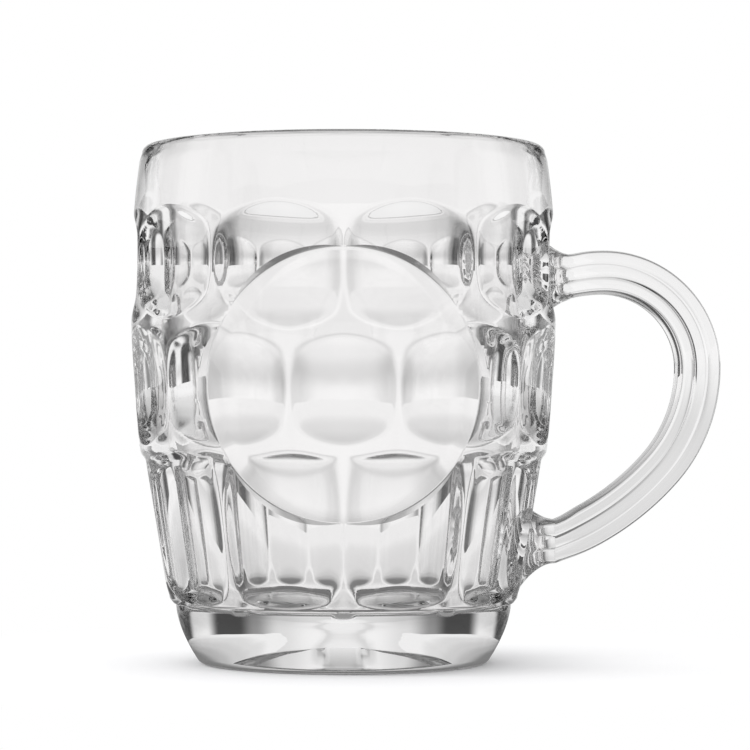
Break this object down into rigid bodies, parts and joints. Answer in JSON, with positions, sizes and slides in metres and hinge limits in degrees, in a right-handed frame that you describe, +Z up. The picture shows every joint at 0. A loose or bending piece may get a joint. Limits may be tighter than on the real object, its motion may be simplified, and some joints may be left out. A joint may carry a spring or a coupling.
{
  "type": "dimpled glass beer mug",
  "caption": "Pint beer mug in clear pressed glass with rows of round dimples, a plain round front panel and a ribbed loop handle.",
  "frame": {"origin": "on the axis of the bowl, in the plane of the ring that the mug stands on", "axes": "+Z up along the axis of the bowl, +X from the bowl to the handle, -Y to the plain round panel in front"},
  "size_m": [0.1425, 0.103, 0.125],
  "materials": {
    "clear_glass": "clear pressed glass, fire polished"
  },
  "bodies": {
    "root": {"bowl": "clear_glass", "handle": "clear_glass"}
  },
  "joints": []
}
